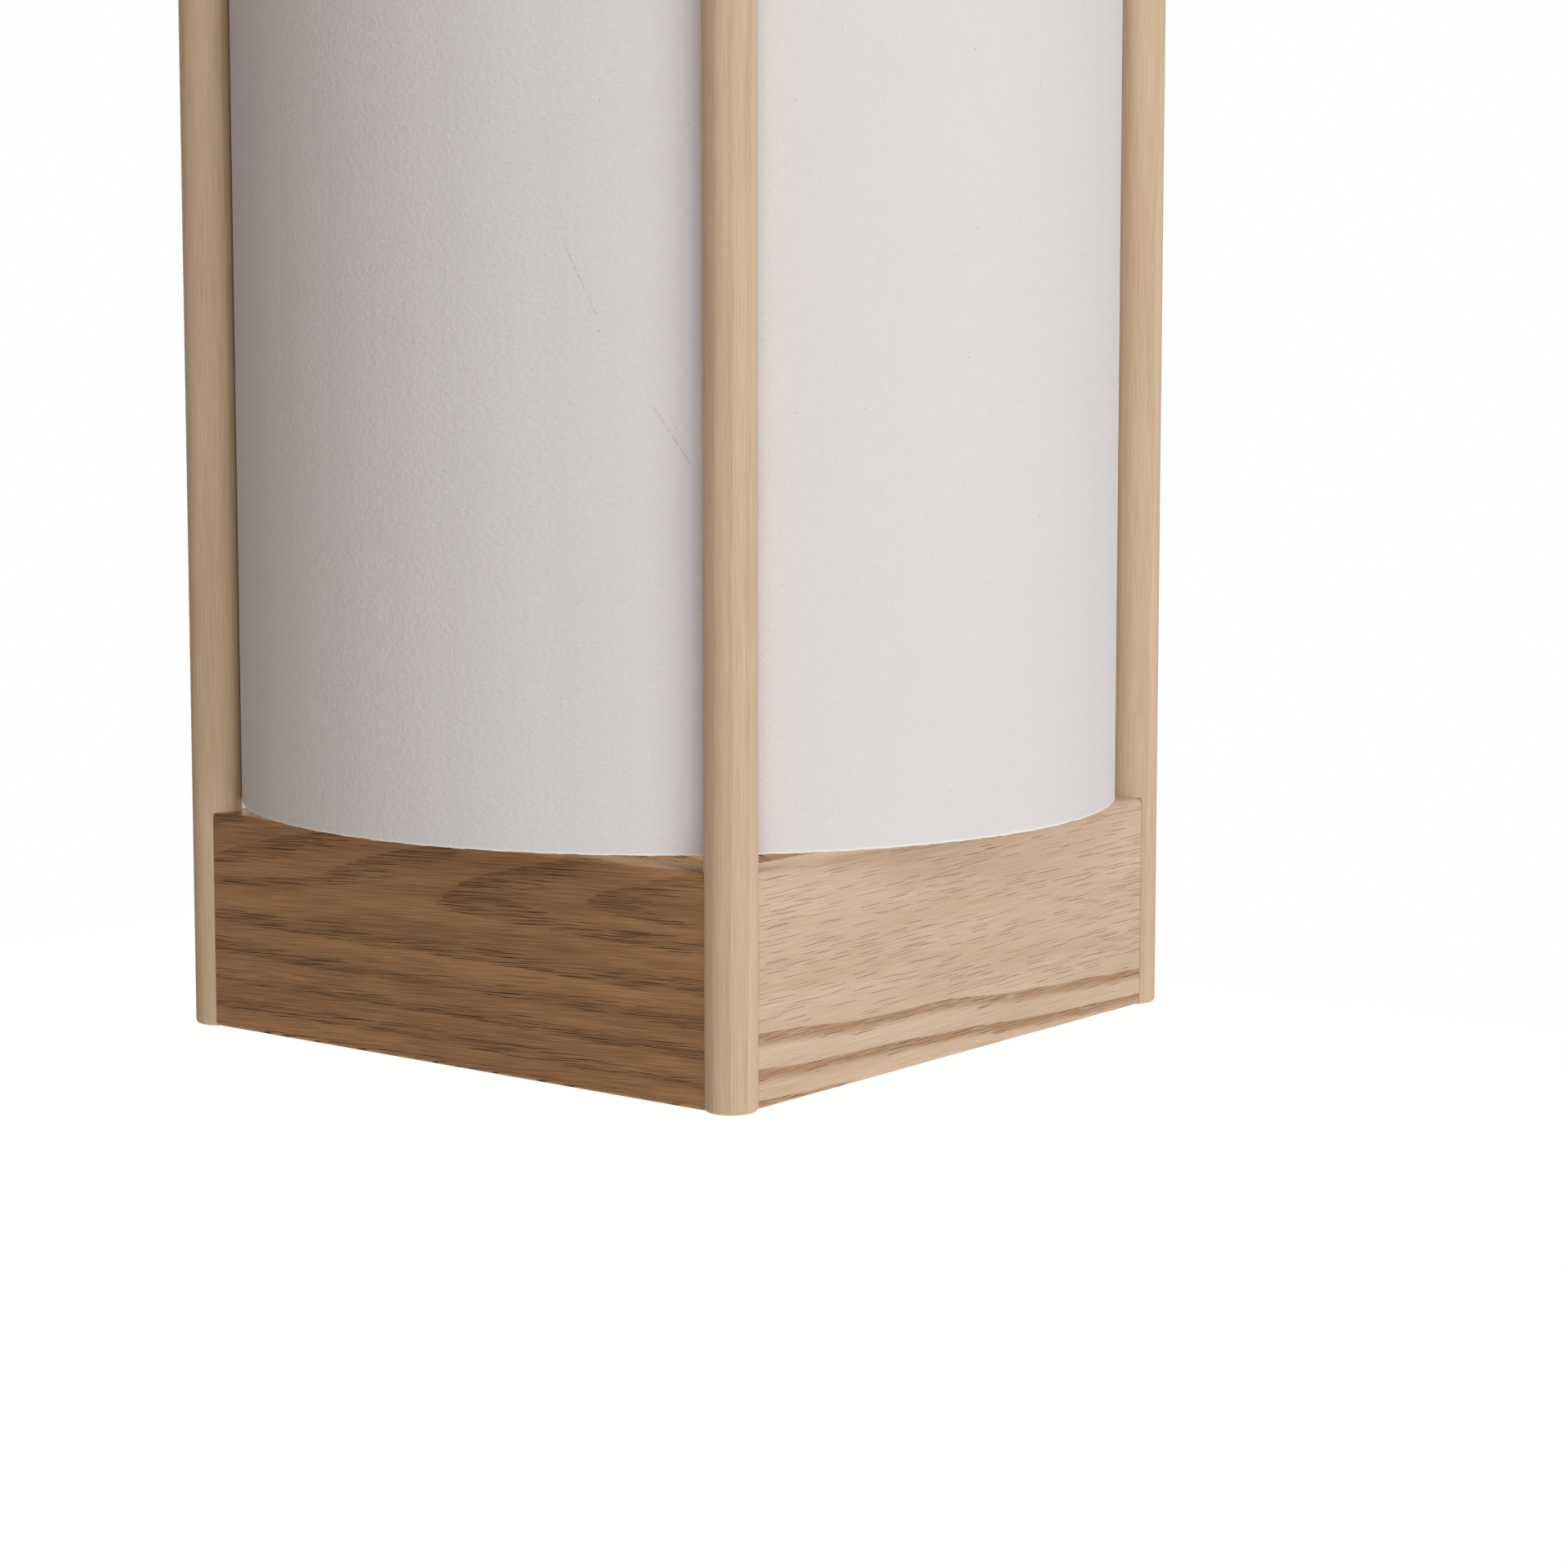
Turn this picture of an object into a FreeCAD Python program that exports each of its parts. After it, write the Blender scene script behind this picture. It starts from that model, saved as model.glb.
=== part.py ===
import FreeCAD, Part
import math
import os

# Wooden lantern pendant: a square frame of four round posts and eight rails round a drum shade.
# Millimetres, +Z up. The origin is on the lamp's axis, at the upper end of the cord hole.

# Frame
frame_height = 520.0
post_spacing = 215.0
post_diameter = 16.0
post_end_round = 1.2
post_housing = 3.3          # depth of the flat that a rail's end sits on
rail_height = 70.0
rail_thickness = 13.0
rail_edge_round = 2.0
rail_end_ease = 0.35
rail_mitre_gap = 0.15       # between two rails' inner ends, behind the post

# Dowel pins of the rail joints
pin_diameter = 6.0
pin_in_post = 9.5
pin_in_rail = 16.0
pin_end_slack = 0.5         # room past the pin in the rail
pin_end_chamfer = 0.7
pin_spread_front = 44.0     # front and back rails
pin_spread_side = 18.0      # right and left rails, so that the pins miss each other in the post
glue_film = 0.05

# Crossbar that carries the lampholder
crossbar_width = 30.0
crossbar_thickness = 14.0
crossbar_drop = 38.0        # from the frame's top to the bar's top
crossbar_housing = 4.0      # depth of the housing in the rails
crossbar_edge_round = 1.5

# Threaded tube, washers and nut
tube_diameter = 10.0
tube_bore = 8.0
tube_end_chamfer = 0.6
tube_in_cap = 9.0
thread_clearance = 0.05
hole_clearance = 0.25
washer_diameter = 22.0
washer_thickness = 1.5
nut_width = 14.0
nut_thickness = 4.0

# Cord grip
grip_diameter = 17.0
grip_height = 22.0
grip_shoulder_round = 3.0
grip_mouth_round = 1.0
grip_socket_depth = 10.0
cord_bore = 7.0
grip_screw_diameter = 4.0
grip_screw_drop = 5.5
grip_screw_proud = 1.0

# Lampholder
holder_diameter = 38.5
holder_wall = 2.0
cap_height = 24.0
cap_collar_diameter = 17.0
cap_collar_height = 5.0
cap_side_height = 9.0
skirt_height = 36.0
skirt_bore = 30.6
skirt_spigot_height = 4.0
skirt_shoulder_drop = 9.0   # from the cap joint to the face that the shade hangs from
skirt_flange_diameter = 45.0
skirt_flange_thickness = 3.0
skirt_thread_diameter = 39.6
skirt_rim_diameter = 36.0
skirt_rim_height = 8.0
skirt_rim_round = 1.0
core_flange_thickness = 3.0
core_depth = 8.5            # below the core's flange
core_clearance = 0.3
screw_shell_bore = 28.0
screw_shell_sheet = 0.5
screw_shell_height = 21.0
screw_shell_window = 16.0
contact_sheet = 0.5
contact_width = 7.0
contact_length = 12.0
contact_foot = 2.4
contact_flat = 2.4          # the part of the tongue that the bulb's tip presses on
contact_drop = 2.6
terminal_spacing = 20.0
terminal_head_diameter = 5.6
terminal_head_height = 2.0
terminal_shank_diameter = 3.0
terminal_shank_length = 7.0

# Shade
shade_post_clearance = 1.5
shade_rail_gap = 3.5
shade_sheet = 0.6
shade_seam_lap = 12.0
shade_wire = 3.0
shade_wire_inset = 1.0      # from the sheet's cut edge to the wire
shade_glue = 0.1
spider_arms = 3
spider_first_angle = 90     # one arm points to the back, where the sheet is lapped
fitter_diameter = 64.0
fitter_thickness = 1.5
fitter_clearance = 0.5
ring_nut_diameter = 53.0
ring_nut_height = 8.0
ring_nut_grips = 12
ring_nut_grip_radius = 3.0
ring_nut_grip_depth = 1.2

# Bulb
bulb_gap = 0.2              # between the bulb's tip and the contact
bulb_tip_diameter = 9.0
bulb_tip_flat_diameter = 5.4
bulb_tip_edge = 0.5
bulb_tip_height = 1.5
bulb_insulator_diameter = 16.0
bulb_insulator_height = 3.5
bulb_cap_diameter = 26.4
bulb_cap_sheet = 0.4
bulb_cap_height = 20.0
bulb_neck_diameter = 27.2
bulb_neck_height = 7.0
bulb_collar_diameter = 54.0
bulb_collar_height = 31.0
bulb_collar_wall = 2.0
bulb_globe_bulge = 3.0      # how far the globe swells past the collar's rim
bulb_globe_wall = 1.2
led_board_thickness = 1.6
led_board_sink = 3.0
led_board_clearance = 0.2

# Levels from the cord hole down
grip_top = grip_mouth_round
grip_bottom = grip_top - grip_height
tube_top = grip_bottom + grip_socket_depth
bar_top = grip_bottom - washer_thickness
bar_bottom = bar_top - crossbar_thickness
nut_top = bar_bottom - washer_thickness
cap_top = nut_top - nut_thickness
cap_bottom = cap_top - cap_height
tube_bottom = cap_top - tube_in_cap
frame_top = bar_top + crossbar_drop
frame_bottom = frame_top - frame_height
upper_rail_bottom = frame_top - rail_height
lower_rail_top = frame_bottom + rail_height
shade_top = upper_rail_bottom - shade_rail_gap
shade_bottom = lower_rail_top + shade_rail_gap
spigot_top = cap_bottom + skirt_spigot_height
shoulder = cap_bottom - skirt_shoulder_drop
fitter_bottom = shoulder - fitter_thickness
skirt_bottom = cap_bottom - skirt_height
core_top = spigot_top + core_flange_thickness
core_bottom = spigot_top - core_depth
bulb_top = core_bottom - contact_drop - bulb_gap
insulator_top = bulb_top - bulb_tip_height
bulb_cap_top = insulator_top - bulb_insulator_height
neck = bulb_cap_top - bulb_cap_height
collar_top = neck - bulb_neck_height
collar_rim = collar_top - bulb_collar_height
board_top = collar_rim + led_board_sink

# Radii and places that several pieces share
post_radius = post_diameter / 2
half_spacing = post_spacing / 2
flat_distance = post_radius - post_housing
rail_length = post_spacing - 2 * flat_distance
rail_inner_face = half_spacing - rail_thickness / 2
shade_radius = half_spacing * math.sqrt(2) - post_radius - shade_post_clearance
shade_inner_radius = shade_radius - shade_sheet
wire_ring_radius = shade_inner_radius - shade_glue - shade_wire / 2
fitter_bore_radius = skirt_thread_diameter / 2 + fitter_clearance
skirt_bore_radius = skirt_bore / 2
spigot_radius = holder_diameter / 2 - holder_wall
bulb_cap_inner_radius = bulb_cap_diameter / 2 - bulb_cap_sheet

corners = ("front_right", "back_right", "back_left", "front_left")
sides = ("front", "right", "back", "left")
up = FreeCAD.Vector(0, 0, 1)
axis_origin = FreeCAD.Vector(0, 0, 0)
inward, outward, upward, downward = (-1, 0), (1, 0), (0, 1), (0, -1)


def save(name, solids):
    shape = solids[0] if len(solids) == 1 else Part.makeCompound(solids)
    shape.exportStep(os.path.join("parts", name + ".step"))


def quarter_turned(shape, turns):
    copy = shape.copy()
    copy.rotate(axis_origin, up, 90 * turns)
    return copy


def moved(shape, x, y, z):
    copy = shape.copy()
    copy.translate(FreeCAD.Vector(x, y, z))
    return copy


def rod(radius, start, end):
    # a cylinder between two points on its axis
    run = end - start
    return Part.makeCylinder(radius, run.Length, start, run)


def upright(radius, bottom, top):
    return rod(radius, FreeCAD.Vector(0, 0, bottom), FreeCAD.Vector(0, 0, top))


def block(low, high):
    low_corner = FreeCAD.Vector(*low)
    size = FreeCAD.Vector(*high) - low_corner
    return Part.makeBox(size.x, size.y, size.z, low_corner)


def turned(outline):
    # revolves (radius, height) points about the axis; four numbers are an arc's middle and end
    edges = []
    here = FreeCAD.Vector(outline[0][0], 0, outline[0][1])
    first = here
    for step in outline[1:]:
        there = FreeCAD.Vector(step[-2], 0, step[-1])
        if len(step) == 4:
            middle = FreeCAD.Vector(step[0], 0, step[1])
            edges.append(Part.Arc(here, middle, there).toShape())
        else:
            edges.append(Part.LineSegment(here, there).toShape())
        here = there
    edges.append(Part.LineSegment(here, first).toShape())
    return Part.Face(Part.Wire(edges)).revolve(axis_origin, up, 360)


def rounded(radius, height, size, start_side, end_side):
    # steps for turned() that round off a square corner; both sides lead away from the corner
    bend = size * (1 - math.sqrt(0.5))
    start = (radius + start_side[0] * size, height + start_side[1] * size)
    end = (radius + end_side[0] * size, height + end_side[1] * size)
    middle = (radius + (start_side[0] + end_side[0]) * bend, height + (start_side[1] + end_side[1]) * bend)
    return [start, middle + end]


def circle_edges(shape):
    return [edge for edge in shape.Edges if isinstance(edge.Curve, Part.Circle)]


def along_x_edges(shape):
    found = []
    for edge in shape.Edges:
        run = edge.Vertexes[-1].Point - edge.Vertexes[0].Point
        if abs(run.x) > 1 and abs(run.y) + abs(run.z) < 1e-6:
            found.append(edge)
    return found


# Rail joints: a rail's square end sits on a flat in the post, with two dowel pins


def pin_heights(rail_bottom, spread):
    middle = rail_bottom + rail_height / 2
    return (middle - spread / 2, middle + spread / 2)


def pin_spreads(corner):
    # the rails that meet at a corner, in the corner's own turned frame
    if corner % 2 == 0:
        return pin_spread_front, pin_spread_side
    return pin_spread_side, pin_spread_front


def corner_rods(corner, rail_bottom, radius, in_post, in_rail):
    # rods through the two joints of the front right corner, turned to the corner that is asked for
    spread_first, spread_second = pin_spreads(corner)
    rods = []
    for height in pin_heights(rail_bottom, spread_first):
        joint = FreeCAD.Vector(half_spacing - flat_distance, -half_spacing, height)
        into_post = FreeCAD.Vector(1, 0, 0)
        rods.append(rod(radius, joint - into_post * in_rail, joint + into_post * in_post))
    for height in pin_heights(rail_bottom, spread_second):
        joint = FreeCAD.Vector(half_spacing, -half_spacing + flat_distance, height)
        into_post = FreeCAD.Vector(0, -1, 0)
        rods.append(rod(radius, joint - into_post * in_rail, joint + into_post * in_post))
    return [quarter_turned(shape, corner) for shape in rods]


def rail_joint_pins(rail_bottom):
    pins = []
    for corner in range(len(corners)):
        for pin in corner_rods(corner, rail_bottom, pin_diameter / 2, pin_in_post, pin_in_rail):
            pins.append(pin.makeChamfer(pin_end_chamfer, circle_edges(pin)))
    return pins


def rail_joint_bores(rail_bottom):
    radius = pin_diameter / 2 + glue_film
    bores = []
    for corner in range(len(corners)):
        bores += corner_rods(corner, rail_bottom, radius, pin_in_post, pin_in_rail + pin_end_slack)
    return bores


def make_post(corner):
    post = turned([
        (0, frame_bottom),
        *rounded(post_radius, frame_bottom, post_end_round, inward, upward),
        *rounded(post_radius, frame_top, post_end_round, downward, inward),
        (0, frame_top),
    ])
    post.translate(FreeCAD.Vector(half_spacing, -half_spacing, 0))
    half_rail = rail_thickness / 2
    cuts = []
    for low, high in ((frame_bottom, lower_rail_top), (upper_rail_bottom, frame_top)):
        flat_x = half_spacing - flat_distance
        cuts.append(block((flat_x - post_housing, -half_spacing - half_rail, low),
                          (flat_x, -half_spacing + half_rail, high)))
        flat_y = -half_spacing + flat_distance
        cuts.append(block((half_spacing - half_rail, flat_y, low),
                          (half_spacing + half_rail, flat_y + post_housing, high)))
    post = quarter_turned(post.cut(cuts), corner)
    return post.cut(rail_joint_bores(frame_bottom) + rail_joint_bores(upper_rail_bottom))


def rail_mitre(end):
    # behind the post two rails meet on the diagonal through the post's axis
    tip = half_spacing - rail_mitre_gap / math.sqrt(2)
    points = [(tip, 0), (tip - rail_thickness, rail_thickness), (tip, rail_thickness), (tip, 0)]
    outline = Part.makePolygon([FreeCAD.Vector(end * x, y, 0) for x, y in points])
    return Part.Face(outline).extrude(FreeCAD.Vector(0, 0, rail_height))


def make_rail(side, rail_bottom, cuts):
    half_length = rail_length / 2
    half_thick = rail_thickness / 2
    rail = block((-half_length, -half_thick, 0), (half_length, half_thick, rail_height))
    rail = rail.makeFillet(rail_edge_round, along_x_edges(rail))
    end_edges = [edge for edge in rail.Edges if abs(abs(edge.CenterOfMass.x) - half_length) < 1e-6]
    rail = rail.makeChamfer(rail_end_ease, end_edges)
    rail = rail.cut([rail_mitre(1), rail_mitre(-1)])
    rail = quarter_turned(moved(rail, 0, -half_spacing, rail_bottom), side)
    return rail.cut(cuts)


# Suspension: crossbar, threaded tube, washers, nut and cord grip


def crossbar_blank():
    reach = rail_inner_face + crossbar_housing
    half_width = crossbar_width / 2
    return block((-reach, -half_width, bar_bottom), (reach, half_width, bar_top))


def make_crossbar():
    bar = crossbar_blank()
    bar = bar.makeFillet(crossbar_edge_round, along_x_edges(bar))
    return bar.cut(upright(tube_diameter / 2 + hole_clearance, bar_bottom, bar_top))


def make_threaded_tube():
    tube = upright(tube_diameter / 2, tube_bottom, tube_top)
    tube = tube.makeChamfer(tube_end_chamfer, circle_edges(tube))
    return tube.cut(upright(tube_bore / 2, tube_bottom, tube_top))


def make_washers():
    washers = []
    for bottom in (bar_top, nut_top):
        top = bottom + washer_thickness
        disc = upright(washer_diameter / 2, bottom, top)
        washers.append(disc.cut(upright(tube_diameter / 2 + hole_clearance, bottom, top)))
    return washers


def make_nut():
    corner_radius = nut_width / math.sqrt(3)
    points = []
    for step in range(7):
        angle = math.radians(60 * step)
        points.append(FreeCAD.Vector(math.cos(angle), math.sin(angle), 0) * corner_radius + up * cap_top)
    nut =Part.Face(Part.makePolygon(points)).extrude(FreeCAD.Vector(0, 0, nut_thickness))
    # the corners are turned off at 30 degrees, top and bottom
    fall = (corner_radius - nut_width / 2) * math.tan(math.radians(30))
    blank = turned([
        (0, cap_top),
        (nut_width / 2, cap_top),
        (corner_radius, cap_top + fall),
        (corner_radius, nut_top - fall),
        (nut_width / 2, nut_top),
        (0, nut_top),
    ])
    return nut.common(blank).cut(upright(tube_diameter / 2 + thread_clearance, cap_top, nut_top))


def grip_screw_axis(start, end):
    height = grip_top - grip_screw_drop
    return FreeCAD.Vector(start, 0, height), FreeCAD.Vector(end, 0, height)


def make_cord_grip():
    outer = grip_diameter / 2
    bore = cord_bore / 2
    socket = tube_diameter / 2 + thread_clearance
    grip = turned([
        (socket, grip_bottom),
        (outer, grip_bottom),
        *rounded(outer, grip_top, grip_shoulder_round, downward, inward),
        *rounded(bore, grip_top, grip_mouth_round, outward, downward),
        (bore, tube_top),
        (socket, tube_top),
    ])
    return grip.cut(rod(grip_screw_diameter / 2 + thread_clearance, *grip_screw_axis(0, outer)))


def make_cord_grip_screw():
    head = grip_diameter / 2 + grip_screw_proud
    return rod(grip_screw_diameter / 2, *grip_screw_axis(cord_bore / 2, head))


# Lampholder: domed cap, skirt, insulating core, screw shell, contact and terminal screws


def make_lampholder_cap():
    outer = holder_diameter / 2
    collar = cap_collar_diameter / 2
    thread = tube_diameter / 2 + thread_clearance
    side_top = cap_bottom + cap_side_height
    dome_top = cap_top - cap_collar_height
    inner = outer - holder_wall
    ceiling = dome_top - holder_wall
    bulge = math.sqrt(0.5)
    return turned([
        (thread, cap_top),
        (collar, cap_top),
        (collar, dome_top),
        (collar + (outer - collar) * bulge, side_top + (dome_top - side_top) * bulge, outer, side_top),
        (outer, cap_bottom),
        (inner, cap_bottom),
        (inner, side_top),
        (collar + (inner - collar) * bulge, side_top + (ceiling - side_top) * bulge, collar, ceiling),
        (collar, tube_bottom),
        (thread, tube_bottom),
    ])


def make_lampholder_skirt():
    outer = holder_diameter / 2
    flange = skirt_flange_diameter / 2
    thread = skirt_thread_diameter / 2
    rim = skirt_rim_diameter / 2
    rim_top = skirt_bottom + skirt_rim_height
    return turned([
        (skirt_bore_radius, spigot_top),
        (spigot_radius - glue_film, spigot_top),
        (spigot_radius - glue_film, cap_bottom),
        (outer, cap_bottom),
        (outer, shoulder + skirt_flange_thickness),
        (flange, shoulder + skirt_flange_thickness),
        (flange, shoulder),
        (thread, shoulder),
        (thread, rim_top),
        *rounded(rim, skirt_bottom, skirt_rim_round, upward, inward),
        (skirt_bore_radius, skirt_bottom),
    ])


def make_lampholder_core():
    flange = spigot_radius - core_clearance
    core = turned([
        (0, core_top),
        (flange, core_top),
        (flange, spigot_top),
        (skirt_bore_radius - core_clearance, spigot_top),
        (skirt_bore_radius - core_clearance, core_bottom),
        (0, core_bottom),
    ])
    hole_radius = terminal_shank_diameter / 2 + thread_clearance
    hole = upright(hole_radius, core_top - terminal_shank_length, core_top)
    return core.cut([moved(hole, side * terminal_spacing / 2, 0, 0) for side in (-1, 1)])


def make_screw_shell():
    bore = screw_shell_bore / 2
    lower = core_bottom - screw_shell_height
    return turned([
        (screw_shell_window / 2, core_bottom),
        (bore + screw_shell_sheet, core_bottom),
        (bore + screw_shell_sheet, lower),
        (bore, lower),
        (bore, core_bottom - screw_shell_sheet),
        (screw_shell_window / 2, core_bottom - screw_shell_sheet),
    ])


def make_centre_contact():
    # a spring tongue: flat foot under the core, slope down to the bulb's tip, turned-up end
    heel = -contact_length / 2
    tongue_top = core_bottom - contact_drop + contact_sheet
    path = [
        (heel, core_bottom),
        (heel + contact_foot, core_bottom),
        (-contact_flat / 2, tongue_top),
        (contact_flat / 2, tongue_top),
        (contact_length / 2, core_bottom - contact_drop / 2),
    ]
    upper = [FreeCAD.Vector(x, -contact_width / 2, z) for x, z in path]
    lower = [point - up * contact_sheet for point in reversed(upper)]
    outline = Part.makePolygon(upper + lower + upper[:1])
    return Part.Face(outline).extrude(FreeCAD.Vector(0, contact_width, 0))


def make_terminal_screws():
    head = terminal_head_diameter / 2
    shank = terminal_shank_diameter / 2
    head_top = core_top + terminal_head_height
    screw = turned([
        (0, head_top),
        (shank, head_top),
        (head, core_top + terminal_head_height / 2),
        (head, core_top),
        (shank, core_top),
        (shank, core_top - terminal_shank_length),
        (0, core_top - terminal_shank_length),
    ])
    return [moved(screw, side * terminal_spacing / 2, 0, 0) for side in (-1, 1)]


# Shade: rolled sheet on two wire rings, hung by a spider under the lampholder's shoulder


def make_shade_sheet():
    drum = upright(shade_radius, shade_bottom, shade_top)
    sheet = drum.cut(upright(shade_inner_radius, shade_bottom, shade_top))
    # the sheet's end laps over its start at the middle of the back
    lap_angle = math.degrees(shade_seam_lap / shade_radius)
    base = FreeCAD.Vector(0, 0, shade_bottom)
    lap = Part.makeCylinder(shade_radius + shade_sheet, shade_top - shade_bottom, base, up, lap_angle)
    lap = lap.cut(drum)
    lap.rotate(axis_origin, up, 90 - lap_angle / 2)
    return sheet.fuse(lap).removeSplitter()


def wire_ring(height):
    return Part.makeTorus(wire_ring_radius, shade_wire / 2, FreeCAD.Vector(0, 0, height), up)


def make_shade_spider():
    ring_height = shade_top - shade_wire_inset - shade_wire / 2
    fitter_middle = shoulder - fitter_thickness / 2
    arm_foot = fitter_diameter / 2 - shade_wire
    fitter = upright(fitter_diameter / 2, fitter_bottom, shoulder)
    pieces = [fitter.cut(upright(fitter_bore_radius, fitter_bottom, shoulder))]
    for arm in range(spider_arms):
        angle = math.radians(360 / spider_arms * arm + spider_first_angle)
        along = FreeCAD.Vector(math.cos(angle), math.sin(angle), 0)
        pieces.append(rod(shade_wire / 2, along * arm_foot + up * fitter_middle,
                          along * wire_ring_radius + up * ring_height))
    return wire_ring(ring_height).fuse(pieces).removeSplitter()


def make_shade_bottom_ring():
    return wire_ring(shade_bottom + shade_wire_inset + shade_wire / 2)


def make_shade_ring_nut():
    outer = ring_nut_diameter / 2
    lower = fitter_bottom - ring_nut_height
    bore = skirt_thread_diameter / 2 + thread_clearance
    ring = upright(outer, lower, fitter_bottom).cut(upright(bore, lower, fitter_bottom))
    grip_distance = outer + ring_nut_grip_radius - ring_nut_grip_depth
    notches = []
    for step in range(ring_nut_grips):
        angle = 2 * math.pi * step / ring_nut_grips
        notch = upright(ring_nut_grip_radius, lower, fitter_bottom)
        notches.append(moved(notch, grip_distance * math.cos(angle), grip_distance * math.sin(angle), 0))
    return ring.cut(notches)


# Bulb: tip contact, insulator, screw cap, collar, globe and the board inside it


def make_bulb_tip():
    edge = bulb_tip_diameter / 2
    return turned([
        (0, bulb_top),
        (bulb_tip_flat_diameter / 2, bulb_top),
        (edge, insulator_top + bulb_tip_edge),
        (edge, insulator_top),
        (0, insulator_top),
    ])


def make_bulb_insulator():
    return turned([
        (0, insulator_top),
        (bulb_insulator_diameter / 2, insulator_top),
        (bulb_cap_diameter / 2, bulb_cap_top),
        (0, bulb_cap_top),
    ])


def make_bulb_cap():
    outer = bulb_cap_diameter / 2
    return turned([
        (bulb_cap_inner_radius, bulb_cap_top),
        (outer, bulb_cap_top),
        (outer, neck),
        (bulb_cap_inner_radius, neck),
    ])


def collar_radius(height, inset):
    # the collar swells in a sine from the neck to its rim
    share = (collar_top - height) / bulb_collar_height
    swell = (bulb_collar_diameter - bulb_neck_diameter) / 2 * math.sin(share * math.pi / 2)
    return bulb_neck_diameter / 2 + swell - inset


def make_bulb_collar():
    middle = (collar_top + collar_rim) / 2
    floor = collar_top - bulb_collar_wall
    floor_middle = (floor + board_top) / 2
    spigot = bulb_cap_inner_radius - glue_film
    ledge = bulb_collar_diameter / 2 - 2 * bulb_collar_wall
    return turned([
        (0, bulb_cap_top),
        (spigot, bulb_cap_top),
        (spigot, neck),
        (bulb_neck_diameter / 2, neck),
        (bulb_neck_diameter / 2, collar_top),
        (collar_radius(middle, 0), middle, bulb_collar_diameter / 2, collar_rim),
        (bulb_collar_diameter / 2 - bulb_globe_wall, collar_rim),
        (bulb_collar_diameter / 2 - bulb_globe_wall, board_top),
        (ledge, board_top),
        (collar_radius(floor_middle, 2 * bulb_collar_wall), floor_middle, spigot - bulb_collar_wall, floor),
        (0, floor),
    ])


def make_led_board():
    half = bulb_collar_diameter / 2 - bulb_globe_wall - led_board_clearance
    return upright(half, board_top - led_board_thickness, board_top)


def make_bulb_globe():
    rim = bulb_collar_diameter / 2
    outer = rim + bulb_globe_bulge
    inner = outer - bulb_globe_wall
    inner_rim = rim - bulb_globe_wall
    centre = collar_rim - math.sqrt(outer ** 2 - rim ** 2)
    inner_start = centre + math.sqrt(inner ** 2 - inner_rim ** 2)
    return turned([
        (inner_rim, collar_rim),
        (rim, collar_rim),
        (outer, centre, 0, centre - outer),
        (0, centre - inner),
        (inner, centre, inner_rim, inner_start),
    ])


os.makedirs("parts", exist_ok=True)

for corner, name in enumerate(corners):
    save("post_" + name, [make_post(corner)])
lower_bores = rail_joint_bores(frame_bottom)
upper_bores = rail_joint_bores(upper_rail_bottom)
for side, name in enumerate(sides):
    save("lower_rail_" + name, [make_rail(side, frame_bottom, lower_bores)])
    save("upper_rail_" + name, [make_rail(side, upper_rail_bottom, upper_bores + [crossbar_blank()])])
save("lower_rail_pins", rail_joint_pins(frame_bottom))
save("upper_rail_pins", rail_joint_pins(upper_rail_bottom))

save("crossbar", [make_crossbar()])
save("threaded_tube", [make_threaded_tube()])
save("tube_washers", make_washers())
save("tube_nut", [make_nut()])
save("cord_grip", [make_cord_grip()])
save("cord_grip_screw", [make_cord_grip_screw()])

save("lampholder_cap", [make_lampholder_cap()])
save("lampholder_skirt", [make_lampholder_skirt()])
save("lampholder_core", [make_lampholder_core()])
save("lampholder_screw_shell", [make_screw_shell()])
save("lampholder_contact", [make_centre_contact()])
save("terminal_screws", make_terminal_screws())

save("shade_sheet", [make_shade_sheet()])
save("shade_spider", [make_shade_spider()])
save("shade_bottom_ring", [make_shade_bottom_ring()])
save("shade_ring_nut", [make_shade_ring_nut()])

save("bulb_tip", [make_bulb_tip()])
save("bulb_insulator", [make_bulb_insulator()])
save("bulb_cap", [make_bulb_cap()])
save("bulb_collar", [make_bulb_collar()])
save("bulb_led_board", [make_led_board()])
save("bulb_globe", [make_bulb_globe()])
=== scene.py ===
import bpy
import math
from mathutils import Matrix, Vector


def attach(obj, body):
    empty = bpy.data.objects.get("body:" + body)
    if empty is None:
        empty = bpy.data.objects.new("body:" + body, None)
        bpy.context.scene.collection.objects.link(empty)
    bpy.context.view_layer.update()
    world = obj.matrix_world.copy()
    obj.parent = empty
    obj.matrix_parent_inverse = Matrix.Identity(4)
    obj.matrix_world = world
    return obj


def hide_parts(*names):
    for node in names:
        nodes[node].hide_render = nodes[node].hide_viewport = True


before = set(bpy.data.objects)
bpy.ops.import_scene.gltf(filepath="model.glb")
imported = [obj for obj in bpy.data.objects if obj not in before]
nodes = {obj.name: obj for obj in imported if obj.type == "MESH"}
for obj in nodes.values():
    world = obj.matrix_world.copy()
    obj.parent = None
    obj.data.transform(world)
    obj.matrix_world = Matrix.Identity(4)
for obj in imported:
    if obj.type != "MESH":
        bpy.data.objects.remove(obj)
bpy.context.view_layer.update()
print("frame loaded:", len(nodes), "nodes")


def paint(red, green, blue):  # colour given as 0-255 on screen, handed to the shader as linear
    steps = []
    for part in (red, green, blue):
        share = part / 255
        steps.append(share / 12.92 if share <= 0.04045 else ((share + 0.055) / 1.055) ** 2.4)
    return (*steps, 1.0)


# shorthands for wiring nodes

def calc(tree, operation, *terms, clamp=False):
    node = tree.nodes.new("ShaderNodeMath")
    node.operation = operation
    node.use_clamp = clamp
    for socket, term in zip(node.inputs, terms):
        if isinstance(term, (int, float)):
            socket.default_value = term
        else:
            tree.links.new(term, socket)
    return node.outputs[0]


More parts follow.
